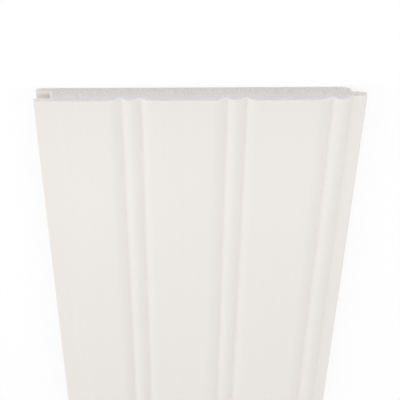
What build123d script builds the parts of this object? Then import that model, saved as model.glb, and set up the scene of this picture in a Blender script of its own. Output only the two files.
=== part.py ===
"""Beadboard plank: one length of tongue-and-groove wainscot stock in white cellular plastic.

The plank lies flat with its moulded face up. X runs across the width, from the slot edge to the
tongue edge, Y runs along the length and Z is up. The origin is the middle of the underside of the
box around the plank.
"""
import os

from build123d import *

# Stock size
length = 2438.4
thickness = 7.94

# Face: flat panels that roll down into a quirk on each side of a bead
bead_pitch = 44.45
bead_count = 3
bead_width = 8.1
bead_recess = 0.2
quirk_depth = 2.4
quirk_radius = 1.0
shoulder_run = 5.4

# Edge joint: the tongue of one plank slides into the slot of the next
tongue_length = 6.7
tongue_root_thickness = 3.15
tongue_tip_thickness = 2.5
tongue_tip_radius = 0.8
back_shoulder_step = 0.15

# Clearances of the joint
face_reveal = 0.05
back_reveal = 0.65
side_clearance = 0.15
tip_clearance = 0.3

# Back corners are relieved so that the plank seats on an uneven wall
slot_bevel_rise = 0.5
slot_bevel_run = 1.6
tongue_bevel_rise = 0.9
tongue_bevel_run = 3.9

# Every corner of the joint comes out of the die slightly round
corner_radius = 0.4

# Positions across the width
face_width = bead_count * bead_pitch
joint_line = -(face_reveal + face_width + tongue_length) / 2
front_shoulder = joint_line + face_width
tongue_tip = front_shoulder + tongue_length
back_shoulder = front_shoulder + back_shoulder_step
front_lip_end = joint_line + face_reveal
back_lip_end = joint_line + back_shoulder_step + back_reveal
slot_bottom = joint_line + tongue_length + tip_clearance

# Heights above the back
face = thickness
quirk = face - quirk_depth
bead_crown = face - bead_recess
tongue_root_under = quirk - tongue_root_thickness
tongue_tip_under = quirk - tongue_tip_thickness
slot_front_wall = quirk + side_clearance
slot_back_wall = tongue_root_under - side_clearance

os.makedirs("parts", exist_ok=True)

with BuildPart() as beadboard_plank:
    with BuildSketch(Plane.XZ) as section:
        with BuildLine():
            # Moulded face, from the slot edge to the foot of the last bead
            panel_start = front_lip_end
            for bead in range(bead_count):
                bead_end = joint_line + (bead + 1) * bead_pitch
                bead_start = bead_end - bead_width
                panel_end = bead_start - shoulder_run
                Line((panel_start, face), (panel_end, face))
                TangentArc((panel_end, face), (bead_start, quirk), tangent=(1, 0))
                ThreePointArc(
                    (bead_start, quirk),
                    ((bead_start + bead_end) / 2, bead_crown),
                    (bead_end, quirk),
                )
                if bead < bead_count - 1:
                    panel_start = bead_end + shoulder_run
                    TangentArc((panel_start, face), (bead_end, quirk), tangent=(-1, 0))
            # Tongue, back and slot, round to the face again
            Polyline(
                (front_shoulder, quirk),
                (tongue_tip, quirk),
                (tongue_tip, tongue_tip_under),
                (back_shoulder, tongue_root_under),
                (back_shoulder, tongue_bevel_rise),
                (back_shoulder - tongue_bevel_run, 0),
                (back_lip_end + slot_bevel_run, 0),
                (back_lip_end, slot_bevel_rise),
                (back_lip_end, slot_back_wall),
                (slot_bottom, slot_back_wall),
                (slot_bottom, slot_front_wall),
                (front_lip_end, slot_front_wall),
                (front_lip_end, face),
            )
        make_face()
        # Round the two lips, the slot and the tongue's root, and leave the bevels of the back as they are
        small = corner_radius / 10
        upper = section.vertices().filter_by_position(Axis.Y, small, face + small)
        slot_edge = upper.filter_by_position(Axis.X, front_lip_end - small, slot_bottom + small)
        tongue_root = upper.filter_by_position(Axis.X, front_shoulder - small, back_shoulder + small)
        fillet(slot_edge + tongue_root, corner_radius)
        # The quirks are rounder, as a die leaves them
        feet = section.vertices().filter_by_position(Axis.Y, quirk - small, quirk + small)
        fillet(feet.filter_by_position(Axis.X, slot_bottom, front_shoulder - bead_width / 2), quirk_radius)
        # The tongue's tip is round too, so that it finds the slot
        tip = section.vertices().filter_by_position(Axis.X, tongue_tip - small, tongue_tip + small)
        fillet(tip, tongue_tip_radius)
    extrude(amount=length / 2, both=True)

beadboard_plank.part.label = "beadboard_plank"
export_step(beadboard_plank.part, "parts/beadboard_plank.step")
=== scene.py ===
from math import radians

import bpy
import numpy as np
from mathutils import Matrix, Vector
from mathutils.geometry import delaunay_2d_cdt


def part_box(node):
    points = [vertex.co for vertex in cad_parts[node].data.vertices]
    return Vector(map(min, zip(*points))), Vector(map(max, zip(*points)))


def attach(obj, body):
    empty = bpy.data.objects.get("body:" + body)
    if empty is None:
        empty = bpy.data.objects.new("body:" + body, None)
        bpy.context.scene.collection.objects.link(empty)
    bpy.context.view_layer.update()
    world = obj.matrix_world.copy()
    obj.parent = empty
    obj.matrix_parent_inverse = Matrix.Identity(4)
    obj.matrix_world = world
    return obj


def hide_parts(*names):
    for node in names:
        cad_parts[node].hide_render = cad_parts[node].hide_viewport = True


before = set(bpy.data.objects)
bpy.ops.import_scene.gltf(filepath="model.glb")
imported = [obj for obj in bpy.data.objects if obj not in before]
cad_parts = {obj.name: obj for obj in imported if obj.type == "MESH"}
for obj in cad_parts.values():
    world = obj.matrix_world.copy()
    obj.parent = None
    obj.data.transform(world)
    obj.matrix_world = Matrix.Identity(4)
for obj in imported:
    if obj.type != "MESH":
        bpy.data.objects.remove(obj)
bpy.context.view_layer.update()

# Plank
# One length of tongue-and-groove wainscot stock, extruded in white cellular plastic: a smooth dense skin
# over a fine foam. The die gives it its beads, tongue and slot, and a saw cuts it square to length.

plank_low, plank_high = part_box("beadboard_plank")
length = (plank_high.y - plank_low.y) * 1000
thickness = (plank_high.z - plank_low.z) * 1000
width = (plank_high.x - plank_low.x) * 1000

# Sizes of the section in millimetres, as in the part's source
bead_pitch, bead_count, bead_width, bead_recess = 44.45, 3, 8.1, 0.2
quirk_depth, quirk_radius, shoulder_run, corner_radius = 2.4, 1.0, 5.4, 0.4
tongue_length, tongue_root_thickness, tongue_tip_thickness, tongue_tip_radius = 6.7, 3.15, 2.5, 0.8
back_shoulder_step, face_reveal, back_reveal = 0.15, 0.05, 0.65
side_clearance, tip_clearance = 0.15, 0.3
slot_bevel_rise, slot_bevel_run, tongue_bevel_rise, tongue_bevel_run = 0.5, 1.6, 0.9, 3.9

joint_line = -width / 2 - face_reveal
front_shoulder = joint_line + bead_count * bead_pitch
tongue_tip = width / 2
quirk = thickness - quirk_depth


def arc(centre, radius, start, end):
    """Points on a circle about centre, from angle start to angle end in radians, about 6 degrees apart."""
    steps = max(2, int(np.ceil(abs(end - start) / radians(6))))
    a = np.linspace(start, end, steps + 1)
    return np.stack([centre[0] + radius * np.cos(a), centre[1] + radius * np.sin(a)], 1)


def bearing(origin, target):
    """The angle of the line from origin to target, in radians."""
    return np.arctan2(target[1] - origin[1], target[0] - origin[0])


def half_bead():
    """The face from a panel's edge to the next bead's crown, with x counted from the middle of the bead.

    The shoulder is a circle that leaves the panel level and falls by the quirk's depth over its run. The
    bead is the circle through its two feet and its crown. The quirk's rounding is the small circle that
    touches both from outside, so its centre lies the quirk's radius further from each centre than their
    own radii.
    """
    rise = quirk_depth - bead_recess
    shoulder_r = (shoulder_run ** 2 + quirk_depth ** 2) / (2 * quirk_depth)
    bead_r = ((bead_width / 2) ** 2 + rise ** 2) / (2 * rise)
    shoulder_c = np.array([-bead_width / 2 - shoulder_run, thickness - shoulder_r])
    bead_c = np.array([0.0, thickness - bead_recess - bead_r])
    apart = bead_c - shoulder_c
    reach = np.hypot(*apart)
    along = ((shoulder_r + quirk_radius) ** 2 - (bead_r + quirk_radius) ** 2 + reach ** 2) / (2 * reach)
    off = np.sqrt((shoulder_r + quirk_radius) ** 2 - along ** 2)
    quirk_c = shoulder_c + (apart * along + np.array([-apart[1], apart[0]]) * off) / reach
    shoulder = arc(shoulder_c, shoulder_r, np.pi / 2, bearing(shoulder_c, quirk_c))
    rounding = arc(quirk_c, quirk_radius, bearing(quirk_c, shoulder_c), bearing(quirk_c, bead_c))
    crown = arc(bead_c, bead_r, bearing(bead_c, quirk_c), np.pi / 2)
    return np.concatenate([shoulder, rounding[1:-1], crown]), bead_c, bead_r


def rounded(points, radii):
    """A run of straight lines with round corners, each an arc that touches the lines on both sides of it.

    The arc starts before the corner by its radius times the tangent of half the turn.
    """
    stretches = [points[:1]]
    for before, corner, after, radius in zip(points, points[1:], points[2:], radii):
        if radius == 0:
            stretches.append(corner[None])
            continue
        u = (corner - before) / np.hypot(*(corner - before))
        v = (after - corner) / np.hypot(*(after - corner))
        turn = np.arctan2(u[0] * v[1] - u[1] * v[0], u @ v)
        start = corner - u * radius * np.tan(abs(turn) / 2)
        normal = np.array([-u[1], u[0]]) * np.sign(turn)
        centre = start + normal * radius
        first = bearing(centre, start)
        stretches.append(arc(centre, radius, first, first + turn))
    return np.concatenate(stretches + [points[-1:]])


def plank_section(step):
    """The closed outline of the plank across its length, as points in millimetres at most a step apart.

    It goes along the face from the slot edge to the tongue, round the tongue, back along the underside
    and round the slot. The beads are one half bead and its mirror image, repeated by the pitch.
    """
    half, bead_c, bead_r = half_bead()
    whole = np.concatenate([half, (half * [-1, 1])[-2::-1]])
    middles = joint_line + bead_pitch * np.arange(1, bead_count + 1) - bead_width / 2
    beads = [whole + [x, 0] for x in middles[:-1]]

    last_c = bead_c + [middles[-1], 0]
    root_z = quirk + corner_radius
    root_run = np.sqrt((bead_r + corner_radius) ** 2 - (root_z - last_c[1]) ** 2)
    root_c = np.array([last_c[0] + root_run, root_z])
    last_fall = arc(last_c, bead_r, np.pi / 2, bearing(last_c, root_c))
    root = arc(root_c, corner_radius, bearing(root_c, last_c) + 2 * np.pi, 1.5 * np.pi)
    beads += [half + [middles[-1], 0], last_fall[1:], root[1:]]

    tongue_root_under = quirk - tongue_root_thickness
    back_shoulder = front_shoulder + back_shoulder_step
    back_lip_end = joint_line + back_shoulder_step + back_reveal
    front_lip_end = joint_line + face_reveal
    slot_bottom = joint_line + tongue_length + tip_clearance
    slot_front, slot_back = quirk + side_clearance, tongue_root_under - side_clearance
    corners = np.array([
        root[-1],
        (tongue_tip, quirk),
        (tongue_tip, quirk - tongue_tip_thickness),
        (back_shoulder, tongue_root_under),
        (back_shoulder, tongue_bevel_rise),
        (back_shoulder - tongue_bevel_run, 0),
        (back_lip_end + slot_bevel_run, 0),
        (back_lip_end, slot_bevel_rise),
        (back_lip_end, slot_back),
        (slot_bottom, slot_back),
        (slot_bottom, slot_front),
        (front_lip_end, slot_front),
        (front_lip_end, thickness),
        beads[0][0],
    ])
    r, tip_r = corner_radius, tongue_tip_radius
    edge = rounded(corners, [tip_r, tip_r, r, r, 0, 0, r, r, r, r, r, r])
    outline = np.concatenate(beads + [edge[1:-1]])

    ahead = np.roll(outline, -1, 0) - outline
    pieces = np.maximum(1, np.ceil(np.hypot(*ahead.T) / step)).astype(int)
    start = np.repeat(np.arange(len(outline)), pieces)
    share = (np.arange(pieces.sum()) - np.repeat(np.cumsum(pieces) - pieces, pieces)) / pieces[start]
    return outline[start] + ahead[start] * share[:, None]


def drawn_in(ring, depth):
    """A closed outline moved inwards by depth, square to the line between each point's two neighbours."""
    along = np.roll(ring, -1, 0) - np.roll(ring, 1, 0)
    inward = np.stack([along[:, 1], -along[:, 0]], 1)
    return ring + depth * inward / np.hypot(*inward.T)[:, None]


def sawn_field(ring, spacing, seed):
    """Points scattered over the area inside a closed outline, and each one's distance from that outline.

    They are a triangular grid with every point moved by chance by up to a third of the spacing. A point
    counts as inside where a line from it to the right crosses the outline an odd number of times. Points
    so near the outline that they would make slivers are left out.
    """
    row_height, most_moved, sliver = spacing * 0.866, spacing / 3, spacing * 0.6
    chance = np.random.default_rng(seed)
    low, high = ring.min(0), ring.max(0)
    ahead = np.roll(ring, -1, 0)
    found, depths = [], []
    for row, z in enumerate(np.arange(low[1] + spacing / 2, high[1], row_height)):
        x = np.arange(low[0] + spacing * (0.5 + 0.5 * (row % 2)), high[0], spacing)
        p = np.stack([x, np.full_like(x, z)], 1) + chance.uniform(-most_moved, most_moved, (len(x), 2))
        spans = (ring[:, 1] > p[:, 1:]) != (ahead[:, 1] > p[:, 1:])
        rise = np.where(ahead[:, 1] == ring[:, 1], 1.0, ahead[:, 1] - ring[:, 1])
        cross = ring[:, 0] + (p[:, 1:] - ring[:, 1]) * (ahead[:, 0] - ring[:, 0]) / rise
        inside = (spans & (cross > p[:, :1])).sum(1) % 2 == 1
        far = np.sqrt(((p[:, None] - ring[None]) ** 2).sum(2).min(1))
        keep = inside & (far > sliver)
        found.append(p[keep])
        depths.append(far[keep])
    return np.concatenate(found), np.concatenate(depths)


def plank_mesh(name):
    """The whole plank as one closed mesh: the section carried along the length, and a sawn face on each end.

    The section is drawn in by a hair at each end, where the saw leaves a soft arris. Each sawn face is a
    field of points joined into triangles. A point's pit is the square of a random number, times a tear that
    grows towards the back, a painted shade that darkens the back of the sawn face. It lies below the saw's
    plane by its pit times the depth of a torn cell, plus the slow ripple that the blade's feed leaves, a sine
    across the face. Both fade out into the dense skin. The mesh keeps two values for the sawn face's colour:
    the pit, which the material turns into painted shade in the torn cells, and the rim, which is one at the
    face's edge and fades inwards over the skin's depth and towards the back, where the fading is painted
    shade.
    """
    step, arris, station_count = 0.3, 0.04, 25
    skin_depth, whole_skin, cell_depth = 0.45, 0.15, 0.10
    # The tear's rise towards the back is painted shade on the sawn face, and also sinks the cells deeper
    # there.
    tear_and_shade_at_back, tear_and_shade_fall = 1.6, 1.2
    ripple_depth, ripple_length, ripple_slant = 0.02, 2.3, 0.4
    faces_inside, least_gap = 1, 1e-7
    ring = plank_section(step)
    end_ring = drawn_in(ring, arris)
    n = len(ring)
    half = length / 2
    stations = np.linspace(-half + arris, half - arris, station_count)
    rings = [end_ring] + [ring] * len(stations) + [end_ring]
    ys = np.concatenate([[-half], stations, [half]])
    sheet = np.concatenate([np.insert(r, 1, y, 1) for r, y in zip(rings, ys)])
    j = np.arange(n)
    first = (np.arange(len(ys) - 1)[:, None] * n + j).ravel()
    second = (np.arange(len(ys) - 1)[:, None] * n + (j + 1) % n).ravel()
    quads = np.stack([first, second, second + n, first + n], 1)

    points, faces = [sheet], []
    # On the outline the rim value is its height, so the rim fades towards the back as painted shade.
    pits_and_shade, rims_and_back_shade = [np.zeros(len(sheet))], [sheet[:, 2] / thickness]
    count = len(sheet)
    for side, seed in ((-1, 11), (1, 29)):
        inner, far = sawn_field(end_ring, step, seed)
        chance = np.random.default_rng(seed + 1)
        core = np.clip((far - whole_skin) / skin_depth, 0, 1)
        # A tear that grows towards the back: painted shade on the sawn face, and deeper cells there.
        tear_and_shade = tear_and_shade_at_back - tear_and_shade_fall * inner[:, 1] / thickness
        pit_and_shade = chance.random(len(inner)) ** 2 * core * tear_and_shade
        ripple = 0.5 + 0.5 * np.sin(2 * np.pi * (inner[:, 0] + ripple_slant * inner[:, 1]) / ripple_length)
        sunk = cell_depth * pit_and_shade + ripple_depth * ripple * core
        both = np.concatenate([end_ring, inner])
        corners, outline = [Vector(p) for p in both], [list(range(n))]
        _, _, tris, was, _, _ = delaunay_2d_cdt(corners, [], outline, faces_inside, least_gap)
        was = np.array([ids[0] for ids in was])
        tri = was[np.array(tris)]
        first_of_ring = 0 if side < 0 else (len(ys) - 1) * n
        tri = np.where(tri < n, tri + first_of_ring, tri - n + count)
        faces.append(tri if side < 0 else tri[:, ::-1])
        points.append(np.stack([inner[:, 0], side * (half - sunk), inner[:, 1]], 1))
        pits_and_shade.append(pit_and_shade)
        # The rim fades towards the back, and that fading is painted shade.
        rims_and_back_shade.append((1 - np.clip(far / skin_depth, 0, 1)) * inner[:, 1] / thickness)
        count += len(inner)

    points, sawn = np.concatenate(points), np.concatenate(faces)
    mesh = bpy.data.meshes.new(name)
    mesh.vertices.add(len(points))
    mesh.vertices.foreach_set("co", (points / 1000).astype(np.float32).ravel())
    mesh.loops.add(quads.size + sawn.size)
    mesh.loops.foreach_set("vertex_index", np.concatenate([quads.ravel(), sawn.ravel()]).astype(np.int32))
    mesh.polygons.add(len(quads) + len(sawn))
    starts = np.concatenate([np.arange(len(quads)) * 4, quads.size + np.arange(len(sawn)) * 3])
    mesh.polygons.foreach_set("loop_start", starts.astype(np.int32))
    mesh.polygons.foreach_set("material_index", np.repeat([0, 1], [len(quads), len(sawn)]).astype(np.int32))
    mesh.update(calc_edges=True)
    mesh.shade_smooth()
    ends = np.empty(len(mesh.edges) * 2, np.int32)
    mesh.edges.foreach_get("vertices", ends)
    ends = ends.reshape(-1, 2)
    on_rim = ((ends < n).all(1)) | ((ends >= (len(ys) - 1) * n).all(1) & (ends < len(ys) * n).all(1))
    mesh.attributes.new("sharp_edge", "BOOLEAN", "EDGE").data.foreach_set("value", on_rim)
    for kind, values in (("pit_and_shade", pits_and_shade), ("rim_and_back_shade", rims_and_back_shade)):
        layer = mesh.attributes.new(kind, "FLOAT", "POINT")
        layer.data.foreach_set("value", np.concatenate(values).astype(np.float32))
    mesh.validate()
    return mesh


# Skin
# The plastic's dense outer layer, smoothed by the cooled die: a satin warm white with faint lines along
# the length, where the die drew on it, and a slow drift of tone.


def tone_drift_group():
    """A colour that drifts around a base tone: the base times one plus the amount times a soft noise."""
    group = bpy.data.node_groups.new("tone_drift", "ShaderNodeTree")
    sockets = group.interface
    sockets.new_socket("Base", in_out="INPUT", socket_type="NodeSocketColor")
    sockets.new_socket("Stretch", in_out="INPUT", socket_type="NodeSocketVector")
    sockets.new_socket("Amount", in_out="INPUT", socket_type="NodeSocketFloat")
    sockets.new_socket("Colour", in_out="OUTPUT", socket_type="NodeSocketColor")
    sockets.new_socket("Drift", in_out="OUTPUT", socket_type="NodeSocketFloat")
    n, link = group.nodes, group.links.new
    given, out = n.new("NodeGroupInput"), n.new("NodeGroupOutput")
    place = n.new("ShaderNodeTexCoord")
    stretch = n.new("ShaderNodeVectorMath")
    stretch.operation = "MULTIPLY"
    noise = n.new("ShaderNodeTexNoise")
    noise.inputs["Scale"].default_value = 1.0
    noise.inputs["Detail"].default_value = 3.0
    spread = n.new("ShaderNodeMapRange")
    spread.inputs["From Min"].default_value = 0.3
    spread.inputs["From Max"].default_value = 0.7
    spread.inputs["To Min"].default_value = -1.0
    spread.inputs["To Max"].default_value = 1.0
    share = n.new("ShaderNodeMath")
    share.operation = "MULTIPLY_ADD"
    share.inputs[2].default_value = 1.0
    tint = n.new("ShaderNodeVectorMath")
    tint.operation = "SCALE"
    link(place.outputs["Object"], stretch.inputs[0])
    link(given.outputs["Stretch"], stretch.inputs[1])
    link(stretch.outputs[0], noise.inputs["Vector"])
    link(noise.outputs["Fac"], spread.inputs["Value"])
    link(spread.outputs["Result"], share.inputs[0])
    link(given.outputs["Amount"], share.inputs[1])
    link(given.outputs["Base"], tint.inputs[0])
    link(share.outputs[0], tint.inputs["Scale"])
    link(tint.outputs[0], out.inputs["Colour"])
    link(noise.outputs["Fac"], out.inputs["Drift"])
    return group


tone_drift = tone_drift_group()


def skin_material():
    """Satin warm white. Streaks far longer than wide move the tone, the gloss and a bump of a few microns."""
    mat = bpy.data.materials.new("drawn_skin")
    mat.use_nodes = True
    n, link = mat.node_tree.nodes, mat.node_tree.links.new
    shader = n["Principled BSDF"]
    shader.inputs["IOR"].default_value = 1.5
    streaks = n.new("ShaderNodeGroup")
    streaks.node_tree = tone_drift
    streaks.inputs["Base"].default_value = (0.845, 0.812, 0.78, 1)
    streaks.inputs["Stretch"].default_value = (420, 5, 420)
    streaks.inputs["Amount"].default_value = 0.006
    slow = n.new("ShaderNodeGroup")
    slow.node_tree = tone_drift
    slow.inputs["Stretch"].default_value = (14, 6, 14)
    slow.inputs["Amount"].default_value = 0.006
    link(streaks.outputs["Colour"], slow.inputs["Base"])
    link(slow.outputs["Colour"], shader.inputs["Base Color"])
    gloss = n.new("ShaderNodeMapRange")
    gloss.inputs["From Min"].default_value = 0.3
    gloss.inputs["From Max"].default_value = 0.7
    gloss.inputs["To Min"].default_value = 0.42
    gloss.inputs["To Max"].default_value = 0.52
    link(streaks.outputs["Drift"], gloss.inputs["Value"])
    link(gloss.outputs["Result"], shader.inputs["Roughness"])
    place = n.new("ShaderNodeTexCoord")
    peel = n.new("ShaderNodeTexNoise")
    peel.inputs["Scale"].default_value = 700
    peel.inputs["Detail"].default_value = 2
    link(place.outputs["Object"], peel.inputs["Vector"])
    both = n.new("ShaderNodeMath")
    both.operation = "ADD"
    link(streaks.outputs["Drift"], both.inputs[0])
    link(peel.outputs["Fac"], both.inputs[1])
    bump = n.new("ShaderNodeBump")
    bump.inputs["Strength"].default_value = 0.25
    bump.inputs["Distance"].default_value = 0.00002
    link(both.outputs[0], bump.inputs["Height"])
    link(bump.outputs["Normal"], shader.inputs["Normal"])
    return mat


# Sawn ends
# Where the saw goes through, the foam's torn cells show: greyer and duller than the skin, with fine grain
# and a paler line along the face's edge, where the skin is cut across. The pits carry painted shade, darker
# towards the back. Light goes a little way in.


def sawn_material():
    """Dull grey white. Torn cells take painted shade by their depth; the rim on the face's side is paler."""
    mat = bpy.data.materials.new("sawn_foam")
    mat.use_nodes = True
    n, link = mat.node_tree.nodes, mat.node_tree.links.new
    shader = n["Principled BSDF"]
    shader.inputs["Roughness"].default_value = 0.85
    shader.inputs["IOR"].default_value = 1.35
    shader.inputs["Subsurface Weight"].default_value = 1.0
    shader.inputs["Subsurface Radius"].default_value = (1, 1, 1)
    shader.inputs["Subsurface Scale"].default_value = 0.0012
    cells = n.new("ShaderNodeGroup")
    cells.node_tree = tone_drift
    cells.inputs["Base"].default_value = (0.826, 0.802, 0.792, 1)
    cells.inputs["Stretch"].default_value = (1600, 1600, 1600)
    cells.inputs["Amount"].default_value = 0.02
    # The pit darkens the colour below: painted shade in the torn cells, darkest towards the back.
    pit_shade_reader = n.new("ShaderNodeAttribute")
    pit_shade_reader.attribute_name = "pit_and_shade"
    shade = n.new("ShaderNodeMapRange")
    shade.inputs["To Min"].default_value = 1.03
    shade.inputs["To Max"].default_value = 0.88
    link(pit_shade_reader.outputs["Fac"], shade.inputs["Value"])
    darken = n.new("ShaderNodeVectorMath")
    darken.operation = "SCALE"
    link(cells.outputs["Colour"], darken.inputs[0])
    link(shade.outputs["Result"], darken.inputs["Scale"])
    # The rim's paler line fades towards the back, and that fading is painted shade.
    rim_and_back_shade = n.new("ShaderNodeAttribute")
    rim_and_back_shade.attribute_name = "rim_and_back_shade"
    # A Mix node of colours has its share in socket 0, its colours in 6 and 7 and its result in output 2
    edge = n.new("ShaderNodeMix")
    edge.data_type = "RGBA"
    edge.inputs[7].default_value = (0.93, 0.905, 0.88, 1)
    link(rim_and_back_shade.outputs["Fac"], edge.inputs[0])
    link(darken.outputs[0], edge.inputs[6])
    link(edge.outputs[2], shader.inputs["Base Color"])
    place = n.new("ShaderNodeTexCoord")
    pores = n.new("ShaderNodeTexNoise")
    pores.inputs["Scale"].default_value = 5200
    pores.inputs["Detail"].default_value = 2
    link(place.outputs["Object"], pores.inputs["Vector"])
    bump = n.new("ShaderNodeBump")
    bump.inputs["Strength"].default_value = 0.5
    bump.inputs["Distance"].default_value = 0.00005
    link(pores.outputs["Fac"], bump.inputs["Height"])
    link(bump.outputs["Normal"], shader.inputs["Normal"])
    return mat


plank = bpy.data.objects.new("moulded_plank", plank_mesh("moulded_plank"))
bpy.context.scene.collection.objects.link(plank)
plank.data.materials.append(skin_material())
plank.data.materials.append(sawn_material())
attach(plank, "root")
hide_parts("beadboard_plank")

# Floor
# A plain white floor under the plank. It throws light up at the plank, and is seen as white with a faint
# soft shadow along the plank's edges.

floor_mesh = bpy.data.meshes.new("floor")
floor_half, floor_level = 14.0, -0.0003
floor_corners = [
    (-floor_half, -floor_half, floor_level),
    (floor_half, -floor_half, floor_level),
    (floor_half, floor_half, floor_level),
    (-floor_half, floor_half, floor_level),
]
floor_mesh.from_pydata(floor_corners, [], [(0, 1, 2, 3)])
floor = bpy.data.objects.new("floor", floor_mesh)
bpy.context.scene.collection.objects.link(floor)


def seen_directly(nodes, link):
    """One for what is seen straight, in a reflection or through glass, and zero for light that bounces."""
    path = nodes.new("ShaderNodeLightPath")
    either = nodes.new("ShaderNodeMath")
    either.operation = "MAXIMUM"
    link(path.outputs["Is Camera Ray"], either.inputs[0])
    link(path.outputs["Is Glossy Ray"], either.inputs[1])
    any_of = nodes.new("ShaderNodeMath")
    any_of.operation = "MAXIMUM"
    link(either.outputs[0], any_of.inputs[0])
    link(path.outputs["Is Transmission Ray"], any_of.inputs[1])
    return any_of.outputs[0]


def floor_material():
    """White paint for light that bounces. Seen directly, it is mostly an even glow, which pales the shadow.

    The glow's share times its strength, and the paint's share times its brightness in the light, add up
    to about white.
    """
    mat = bpy.data.materials.new("white_floor")
    mat.use_nodes = True
    n, link = mat.node_tree.nodes, mat.node_tree.links.new
    n.remove(n["Principled BSDF"])
    paint = n.new("ShaderNodeBsdfDiffuse")
    paint.inputs["Color"].default_value = (0.85, 0.85, 0.85, 1)
    glow = n.new("ShaderNodeEmission")
    glow.inputs["Strength"].default_value = 1.04
    glow_share = n.new("ShaderNodeMath")
    glow_share.operation = "MULTIPLY"
    glow_share.inputs[1].default_value = 0.8
    link(seen_directly(n, link), glow_share.inputs[0])
    pick = n.new("ShaderNodeMixShader")
    link(glow_share.outputs[0], pick.inputs["Fac"])
    link(paint.outputs[0], pick.inputs[1])
    link(glow.outputs[0], pick.inputs[2])
    link(pick.outputs[0], n["Material Output"].inputs["Surface"])
    return mat


floor_mesh.materials.append(floor_material())

# Light
# A bright even room, two soft lamps above the near end and one out to each side of it. The slot side's is
# lower and stronger.

world = bpy.data.worlds.new("studio")
bpy.context.scene.world = world
world.use_nodes = True
nodes, link = world.node_tree.nodes, world.node_tree.links.new
room = nodes["Background"]
room.inputs["Color"].default_value = (1, 1, 1, 1)
room.inputs["Strength"].default_value = 0.711
white = nodes.new("ShaderNodeBackground")
white.inputs["Color"].default_value = (1, 1, 1, 1)
pick = nodes.new("ShaderNodeMixShader")
link(seen_directly(nodes, link), pick.inputs["Fac"])
link(room.outputs[0], pick.inputs[1])
link(white.outputs[0], pick.inputs[2])
link(pick.outputs[0], nodes["World Output"].inputs["Surface"])


def soft_lamp(name, place, target, size, power):
    """A square lamp of the given size in metres and power in watts, turned towards target."""
    lamp = bpy.data.lights.new(name, "AREA")
    lamp.size = size
    lamp.energy = power
    holder = bpy.data.objects.new(name, lamp)
    holder.location = place
    holder.visible_camera = False
    holder.rotation_euler = (Vector(target) - Vector(place)).to_track_quat("-Z", "Y").to_euler()
    bpy.context.scene.collection.objects.link(holder)


near_end = Vector((0, plank_high.y, plank_high.z))
soft_lamp("overhead_lamp", near_end + Vector((0.0, 0.25, 0.5)), near_end, 0.7, 0.339)
soft_lamp("close_lamp", near_end + Vector((0.0, -0.05, 0.35)), near_end, 0.4, 0.073)
soft_lamp("slot_side_lamp", near_end + Vector((-1.1, 0.1, 0.5)), near_end, 0.8, 4.15)
soft_lamp("tongue_side_lamp", near_end + Vector((1.1, 0.1, 0.8)), near_end, 0.8, 2.64)

# Camera
# The photograph's view: from beyond the near end and above it, down along the face. It is held upside
# down, so that the sawn end is at the top of the picture.

camera_data = bpy.data.cameras.new("camera")
camera_data.sensor_width = 36
camera_data.lens = 135.816
camera_data.clip_start = 0.01
camera = bpy.data.objects.new("camera", camera_data)
camera.location = (-0.0108588, plank_high.y + 0.4741798, plank_high.z + 0.4173634)
camera.rotation_euler = (radians(-52.378), radians(-0.841), radians(0.529))
bpy.context.scene.collection.objects.link(camera)
bpy.context.scene.camera = camera
bpy.context.scene.view_settings.view_transform = "Standard"
